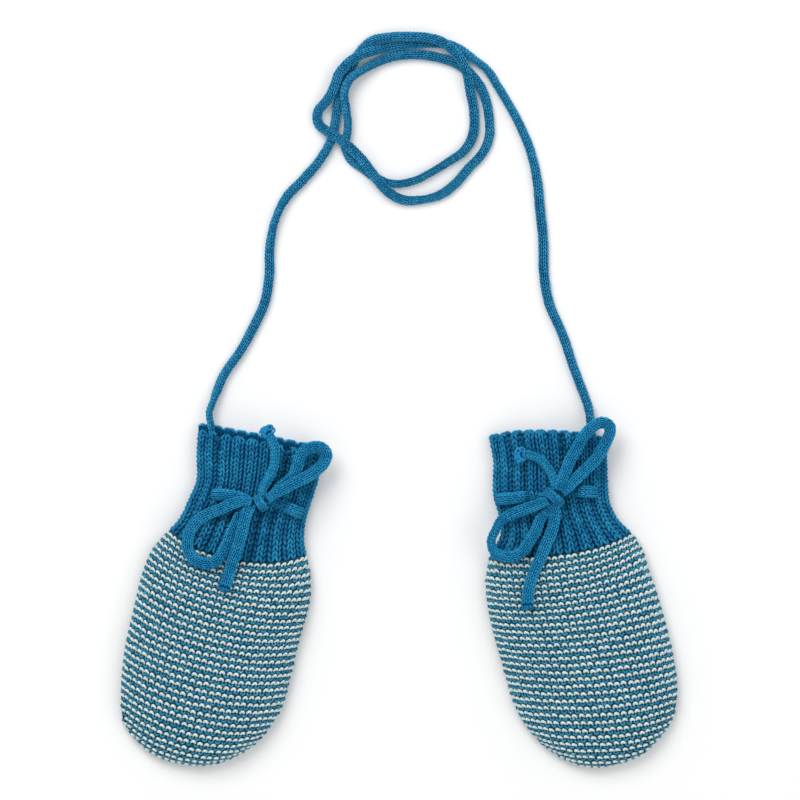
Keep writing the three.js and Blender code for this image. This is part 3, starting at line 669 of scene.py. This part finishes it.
def tuft(name, place, direction, seed, settings):
    # loose loops of yarn beyond the last stitch of a string
    rng = random.Random(seed)
    strands = []
    heading = Vector(direction).normalized()
    beside = heading.cross(Vector((0, 0, 1)))
    for _ in range(settings["count"]):
        angle = rng.uniform(-1, 1) * settings["spread"]
        way = heading * math.cos(angle) + beside * math.sin(angle) + Vector((0, 0, rng.uniform(-0.35, 0.45)))
        bend = Vector((-way.y, way.x, rng.uniform(-0.3, 0.3))) * rng.choice((-1, 1))
        reach = settings["reach"] * rng.uniform(0.55, 1.0)
        root = Vector(place) + beside * rng.uniform(-1.2, 1.2) + Vector((0, 0, rng.uniform(-0.6, 0.7)))
        turn = math.radians(rng.uniform(90, 200)) * settings["curl"]
        points = [root + way * reach * math.sin(turn * t) / max(math.sin(min(turn, math.pi / 2)), 0.3)
                  + bend * reach * 0.45 * (1 - math.cos(turn * t)) for t in np.linspace(0, 1, 7)]
        strands.append((points, settings["radius"] * np.array([1, 1.05, 1, 0.95, 0.9, 0.8, 0.5]), 5))
    stitch = addStitch(name, strands, (1000, 1000))
    stitch.data.materials.append(settings["yarn"])
    stitch.data.attributes.new("stitchTone", "FLOAT", "POINT")
    finishPiece(stitch, [])
    return stitch


# the upper strings end in a round curly tuft, the lower ones in a tied lump
tufts = {
    "string_up": {"count": 40, "spread": 1.7, "reach": 2.4, "curl": 1.0, "radius": 0.52, "yarn": cordYarn},
    "string_down": {"count": 20, "spread": 1.0, "reach": 1.6, "curl": 1.2, "radius": 0.54, "yarn": cuffYarn},
}
bowRolls = {
    "right_string_up": [(0, 0), (14, 15), (22, 58), (34, 62)],
    "left_string_up": [(0, 0), (16, 25), (24, 52), (40, 50)],
    "right_loop_down": [(0, 0), (16, 10), (26, 60), (34, 55), (44, 10), (60, 0)],
}
tuck = {"share": 0.55, "down": 0.8}  # how a loop's ends run on under the knot
eyelet = {"deep": 4.4, "along": 2.4, "under": 0.9}  # how a band comes up through the cuff
# the middle of each bow, and the wrap over it: its centre, direction, half length and width
knots = {
    "left": {"bow": (-55.0, 37.4), "centre": (-55.2, 37.8), "way": (0.51, -0.86), "half": 2.2, "width": 2.8},
    "right": {"bow": (62.4, 39.8), "centre": (61.8, 40.0), "way": (0.75, -0.66), "half": 3.2, "width": 3.0},
}
# the wrap's path as shares of its half length and heights over the bow
wrap = [(-1.1, -3.6), (-1.0, -0.8), (-0.6, 1.6), (0, 2.5), (0.6, 1.6), (1.0, -0.8), (1.1, -3.6)]

bowLengths = {}
for side, mitten in mittens.items():
    knot = knots[side]
    middle = knot["bow"]
    for number, strand in enumerate(("loop_up", "loop_down", "string_up", "string_down")):
        name = f"{side}_{strand}"
        points = draped(mitten, bows[name])
        loop = strand.startswith("loop")
        if loop:
            tucked = []
            for x, y, z in (points[0], points[-1]):
                inX, inY = tuck["share"] * (middle[0] - x), tuck["share"] * (middle[1] - y)
                tucked.append((x + inX, y + inY, z - tuck["down"]))
            points = [tucked[0], *points, tucked[1]]
        else:
            start, after = np.array(points[0]), np.array(points[1])
            points[0] = tuple(start - (0, 0, eyelet["deep"]))
            points.insert(1, tuple(start + eyelet["along"] * unit(after - start) - (0, 0, eyelet["under"])))
        tube, stitches, line, length = makeCord(name + "_core", points, bowStyle, name, 10 + number,
                                                bowRolls.get(name, level), loop)
        if not loop:
            tuft(name + "_end", line[-1] / mm, line[-1] - line[-4], number + 5, tufts[strand])
        tuple(line[0])
        bowLengths[name] = round(length)
    (x, y), (alongX, alongY), half = knot["centre"], knot["way"], knot["half"]
    top = clothTop(mitten, *middle) + cordSize["thickness"] + 2 * gap
    band = [(x + alongX * t * half, y + alongY * t * half, top + height) for t, height in wrap]
    makeCord(f"{side}_knot_core", band, {**bowStyle, "width": knot["width"]}, f"{side}_knot", 21)
print("bow cords", bowLengths)


# panels
def closedPanel(name, lines, material, stitches):
    # a wall from lines across it that run round its section; its two sides are closed with strips
    grid = np.array(lines)
    rows, columns = grid.shape[:2]
    number = np.arange(rows * columns).reshape(rows, columns)
    after = np.roll(number, -1, axis=0)
    faces = quads(number[:, :-1], number[:, 1:], after[:, 1:], after[:, :-1]).tolist()
    for i in range(rows // 2 - 1):
        strip = number[[i, i + 1, rows - 2 - i, rows - 1 - i]]
        faces += [strip[:, 0].tolist(), strip[::-1, -1].tolist()]
    shell = addMesh(name + "_cloth", grid.reshape(-1, 3), faces, [material])
    finishPiece(shell, [name])
    for piece in stitches:
        finishPiece(piece, [])
    return shell


def tipFall(v):
    return math.sqrt(max(0, 1 - v ** cloth["tipPower"]))


def nearGroove(us):  # 1 on the line between two ribs, 0 on a rib's crown
    phase = (us * ribs) % 1
    return np.exp(-((np.minimum(phase, 1 - phase) / 0.2) ** 2))


def ribbed(grid, us, depth):  # pushes a guide in along its facing between the ribs
    return grid - facingOf(grid) * (nearGroove(us) * depth)[:, :, None] * mm


# how deep the cloth folds in between two ribs, in mm, from the left seam to the right one:
# first above the drawstring, then below it
folds = {
    "left": ([0.4, 0.5, 3.0, 0.4, 0.5, 0.4, 2.6, 3.0, 0.5, 0.5, 0.4],
             [0.5, 1.5, 1.5, 2.6, 2.6, 0.8, 3.0, 2.8, 1.8, 1.2, 0.5]),
    "right": ([0.4, 0.8, 2.2, 2.4, 0.5, 1.4, 2.6, 0.8, 0.6, 0.5, 0.4],
              [0.5, 1.4, 1.4, 1.6, 1.6, 2.0, 2.0, 2.0, 2.0, 1.6, 0.6]),
}
drawstring = {"from": 18, "to": 30}  # where the folds change, from the rim down


def grooveDepth(side, at, us):
    nearest = np.clip(np.round(us * ribs), 0, ribs).astype(int)
    above, below = [np.array(depths)[nearest] for depths in folds[side]]
    share = min(max((at - drawstring["from"]) / (drawstring["to"] - drawstring["from"]), 0), 1)
    return above * (1 - share) + below * share


def running(grid, axis):  # length along a guide's lines in millimetres
    steps = np.linalg.norm(np.diff(grid, axis=axis), axis=2) / mm
    before = [(0, 0), (0, 0)]
    before[axis] = (1, 0)
    return np.pad(np.cumsum(steps, axis=axis), before)


def handCells(mitten, grid, shares, stations):  # the stitch and the row at each point of a hand's guide
    us = running(grid, 1)
    us -= us[:, grid.shape[1] // 2, None]
    vs = running(grid, 0)
    vs -= vs[np.argmin(np.abs(stations - mitten["join"]))]
    lines, joinRow = mitten["rows"], mitten["rows"][0]
    for i, at in enumerate(stations):
        row = section(lines, min(max(at, lines[0]["at"]), lines[-1]["at"]))
        bowed = 1 - np.minimum(np.abs(shares[i]), 1) ** cloth["bowPower"]
        vs[i] -= (joinRow["bow"] - row["bow"]) * bowed + (joinRow["tilt"] - row["tilt"]) * shares[i]
    return us / garter["across"], vs / (garter["along"] - garter["widening"] * vs)


handPanels = {"under": 0.95, "shellUnder": 1.05, "wander": 0.08, "columns": 32, "rows": 38, "inset": 0.7,
              "pastTip": (3.0, 1.2), "pastJoin": (1.0, 3.0), "backPastTip": (2.5, 1.0)}
cuffPanels = {"rows": 23, "rimRows": 4, "insideRows": 6, "edgeRow": 0.25, "under": 0.55, "backUnder": 0.6,
              "shellUnder": 0.7, "wander": 0.05, "pull": 0.11, "pastEnds": 0.8, "darkDepth": 2.4,
              "bumps": 1.5, "backBumps": 1.2}
# of the backs: height and inset of the stitches' guide, then of the cloth under them
backs = {"height": 0.72, "inset": 0.3, "clothHeight": 0.8, "clothInset": 0.5}
margin = 0.08
across = np.linspace(-margin, 1 + margin, 117)
backAcross = across[::-1]
inside = np.linspace(0, 1, 41)
onCloth = ((across >= 0) & (across <= 1)).astype(float)


def knitHand(name, guide, stitches, seeds):
    columns, rows = handPanels["columns"], handPanels["rows"]
    sizes = {"Rows": rows, "Wander": handPanels["wander"]}
    cream = knitOn(name + "_cream", guide, stitches[0], creamYarn, **sizes, **{
        "Columns": columns, "First Across": 0.5 - columns / 2, "First Along": 0.42 - rows, "Seed": seeds[0]})
    blue = knitOn(name + "_blue", guide, stitches[1], handBlueYarn, **sizes, **{
        "Columns": columns + 1, "First Across": -columns / 2, "First Along": 0.1 - rows, "Seed": seeds[1]})
    remove(guide)
    return [cream, blue]


def handFront(side, mitten):  # from straight down past the tip up to a little past the join
    start, end, under = mitten["join"] + gap / 2, mitten["outline"][-1]["at"], handPanels["under"]
    # each line's station, how far it has fallen at the tip, and how far it hangs below it
    steps = [(end, 0, drop) for drop in handPanels["pastTip"]]
    steps += [(start + s * (end - start), tipFall(s), 0) for s in np.sin(np.linspace(math.pi / 2, 0, 101))]
    steps += [(start - past, 1, 0) for past in handPanels["pastJoin"]]
    lines, shares, within = [], [], []
    for at, fall, drop in steps:
        row, half = cut(mitten, at, under)
        lines.append(frontLine(mitten, at, under, fall, across) - np.array([0, 0, drop * mm]))
        shares.append(dome(half, (row["height"] - seam - under) * fall, across)[0])
        within.append(onCloth * (drop == 0 and at > start + handPanels["inset"]))
    grid = np.array(lines)
    us, vs = handCells(mitten, grid, shares, np.array([step[0] for step in steps]))
    guide = addGuide("handGuide", grid, us, vs, np.array(within))
    stitches = knitHand(f"{side}_hand_front", guide, (creamStitch, blueStitch), (31, 32))
    outer, inner = [[frontLine(mitten, start + s * (last - start), inset, tipFall(s), inside)
                     for s in np.linspace(0, 1, 49)]
                    for last, inset in ((end, handPanels["shellUnder"]), (end - wall, wall))]
    loop = [*inner, *outer[::-1]]
    shell = closedPanel(f"{side}_hand_front", loop, handCore, stitches)


def handBack(side, mitten):  # flat on the surface
    start, last = mitten["join"] + gap / 2, mitten["outline"][-1]["at"]
    stations = [last + past for past in handPanels["backPastTip"]]
    stations += [*np.linspace(last, start, 101), *(start - past for past in handPanels["pastJoin"])]
    lines, within = [], []
    for at in stations:
        onHand = min(at, last)
        line = backLine(mitten, onHand, backs["height"], backs["inset"], backAcross, last - onHand)
        lines.append(line + np.array([0, 0, (at - onHand) * mm]))
        within.append(onCloth * (start + handPanels["inset"] < at <= last))
    grid = np.array(lines)
    shares = [np.clip(2 * backAcross - 1, -1, 1)] * len(stations)
    us, vs = handCells(mitten, grid, shares, np.minimum(stations, last))
    guide = addGuide("handBackGuide", grid, us, vs, np.array(within))
    stitches = knitHand(f"{side}_hand_back", guide, (backCream, backBlue), (33, 34))
    stations = np.linspace(start, last, 31)
    height, inset = backs["clothHeight"], backs["clothInset"]
    loop = [backLine(mitten, at, height, inset, inside, last - at) for at in stations]
    loop += [backLine(mitten, at, wall, inset, inside) for at in stations[::-1]]
    shell = closedPanel(f"{side}_hand_back", loop, handCore, stitches)


def overRim(run, crest, radius):
    # the station of a line that lies run below the crest, and how far the cloth has turned in there
    if run >= radius:
        return crest + run, 0
    turn = min((radius - run) / radius, math.pi)
    past = max(radius * (1 - math.pi) - run, 0)
    return crest + radius * (1 - math.sin(turn)) + past, radius * (1 - math.cos(turn))


def rimBumps(mitten, at, crest, us, height):  # the ribs' tops stand up at the rim
    lean = math.radians(mitten["lean"])
    upwards = np.array([-math.sin(lean), math.cos(lean), 0])
    shape = np.abs(np.sin(math.pi * us * ribs)) ** 0.8 - 0.45
    return (height * math.exp(-abs(at - crest) / 2.6) * shape)[:, None] * upwards * mm


def cuffRun(length, rows):  # steps from the join over the rim and down inside, and where stitches may lie
    total = length + rows * length / cuffPanels["rows"]
    steps = np.linspace(-cuffPanels["pastEnds"], total + cuffPanels["pastEnds"], 121)
    return steps, np.array([onCloth * (0 <= t <= total) for t in steps])


def knitCuff(name, guide, stitch, yarn, rows, seed, firstAlong=0.5):
    return knitOn(name, guide, stitch, yarn, **{
        "Columns": 2 * ribs, "Rows": rows, "First Along": firstAlong, "Pull": cuffPanels["pull"],
        "Wander": cuffPanels["wander"], "Seed": seed})


def cuffFront(side, mitten):  # from the join up and over the rim
    end, under, rowCount = mitten["join"] - gap / 2, cuffPanels["under"], cuffPanels["rows"]
    crest = mitten["outline"][0]["at"] + mitten["frontRim"]
    length = end - crest
    steps, within = cuffRun(length, cuffPanels["rimRows"])

    def line(at, inset, us):
        return frontLine(mitten, at, inset, 1, us) + rimBumps(mitten, at, crest, us, cuffPanels["bumps"])

    lines, depth = [], []
    for t in steps:
        at, turned = overRim(length - t, crest, (wall - under) / 2)
        lines.append(line(at, under + turned, across))
        depth.append(grooveDepth(side, at, across))
    depth = np.array(depth)
    grid = ribbed(np.array(lines), across, depth)
    # the share of painted shade at the bottom of each groove, full where the groove is darkDepth deep
    hollow = nearGroove(across) * np.clip(depth / cuffPanels["darkDepth"], 0, 1)
    guide = addGuide("cuffGuide", grid, across * 2 * ribs, steps / length * rowCount, within, hollow)
    edgeAt, ribRows = rowCount + cuffPanels["edgeRow"], rowCount + cuffPanels["rimRows"] - 1
    stitches = [knitCuff(f"{side}_cuff_front_rib", guide, ribStitch, cuffYarn, ribRows, 41),
                knitCuff(f"{side}_cuff_front_edge", guide, edgeStitch, cuffYarn, 1, 45, edgeAt)]
    remove(guide)
    stations = np.linspace(end, crest + 0.2, 37)
    outer = np.array([line(at, cuffPanels["shellUnder"], inside) for at in stations])
    outer = ribbed(outer, inside, np.array([grooveDepth(side, at, inside) for at in stations]))
    inner = [line(at, wall, inside) for at in stations[::-1]]
    shell = closedPanel(f"{side}_cuff_front", [*outer, *inner], cuffCore, stitches)


def cuffBack(side, mitten):  # its inside is in shadow, and is knitted in cuff yarn darkened as painted shade
    end, rowCount = mitten["join"] - gap / 2, cuffPanels["rows"]
    rim = mitten["outline"][0]["at"] + mitten["backRim"]
    length = end - rim
    steps, within = cuffRun(length, cuffPanels["insideRows"])

    def line(at, height, inset, us, bumpsAt):
        bumps = rimBumps(mitten, at, rim, bumpsAt, cuffPanels["backBumps"])
        return backLine(mitten, at, height, inset, us) + bumps

    lines = []
    for t in steps:
        at, turned = overRim(length - t, rim, (wall - cuffPanels["backUnder"]) / 2)
        lines.append(line(at, backs["height"] + turned, backs["inset"], backAcross, across))
    guide = addGuide("cuffBackGuide", np.array(lines), across * 2 * ribs, steps / length * rowCount, within)
    edgeAt, insideRows = rowCount + cuffPanels["edgeRow"], cuffPanels["insideRows"] - 2
    stitches = [
        knitCuff(f"{side}_cuff_back_rib", guide, backRib, cuffYarn, rowCount + 1, 42),
        # the back rim's edge is knitted in the lighter bow yarn, a painted highlight along its crest
        knitCuff(f"{side}_cuff_back_edge", guide, edgeStitch, bowYarn, 1, 44, edgeAt),
        knitCuff(f"{side}_cuff_back_inside", guide, backRib, shadedCuffYarn, insideRows, 43, rowCount + 1.5),
    ]
    remove(guide)
    stations = np.linspace(end, rim + 0.2, 27)
    loop = [line(at, backs["clothHeight"], backs["clothInset"], inside, inside) for at in stations[::-1]]
    loop += [line(at, wall, backs["clothInset"], inside, inside) for at in stations]
    shell = closedPanel(f"{side}_cuff_back", loop, cuffCore, stitches)


for side, mitten in mittens.items():
    handFront(side, mitten)
    handBack(side, mitten)
    cuffFront(side, mitten)
    cuffBack(side, mitten)
    print(side, "mitten")
remove(creamStitch, blueStitch, backCream, backBlue, ribStitch, backRib, edgeStitch, cordStitch, bowStitch)

# floor and light
paleFloor = startMaterial("paleFloor", 0.9, 0.1, **{"Base Color": (0.93, 0.93, 0.93, 1)})
floorCorners = [(x, y, -0.0002) for x, y in ((-4, -4), (4, -4), (4, 4), (-4, 4))]
floor = addMesh("floor", floorCorners, [(0, 1, 2, 3)], [paleFloor])

world = bpy.data.worlds.new("softRoom")
world.use_nodes = True
roomLight = world.node_tree.nodes["Background"].inputs
roomLight["Color"].default_value = (1, 1, 1, 1)
roomLight["Strength"].default_value = 0.62
scene.world = world

for name, place, size, power in [("keyLight", (-0.5, 0.9, 1.3), 0.9, 13.0),
                                 ("fillLight", (0.9, -0.2, 1.5), 1.2, 6.0)]:
    lightData = bpy.data.lights.new(name, "AREA")
    lightData.size = size
    lightData.energy = power
    light = bpy.data.objects.new(name, lightData)
    light.location = place
    light.rotation_euler = (Vector((0, 0.05, 0)) - Vector(place)).to_track_quat("-Z", "Y").to_euler()
    scene.collection.objects.link(light)

scene.view_settings.view_transform = "Standard"

print("pieces ready")
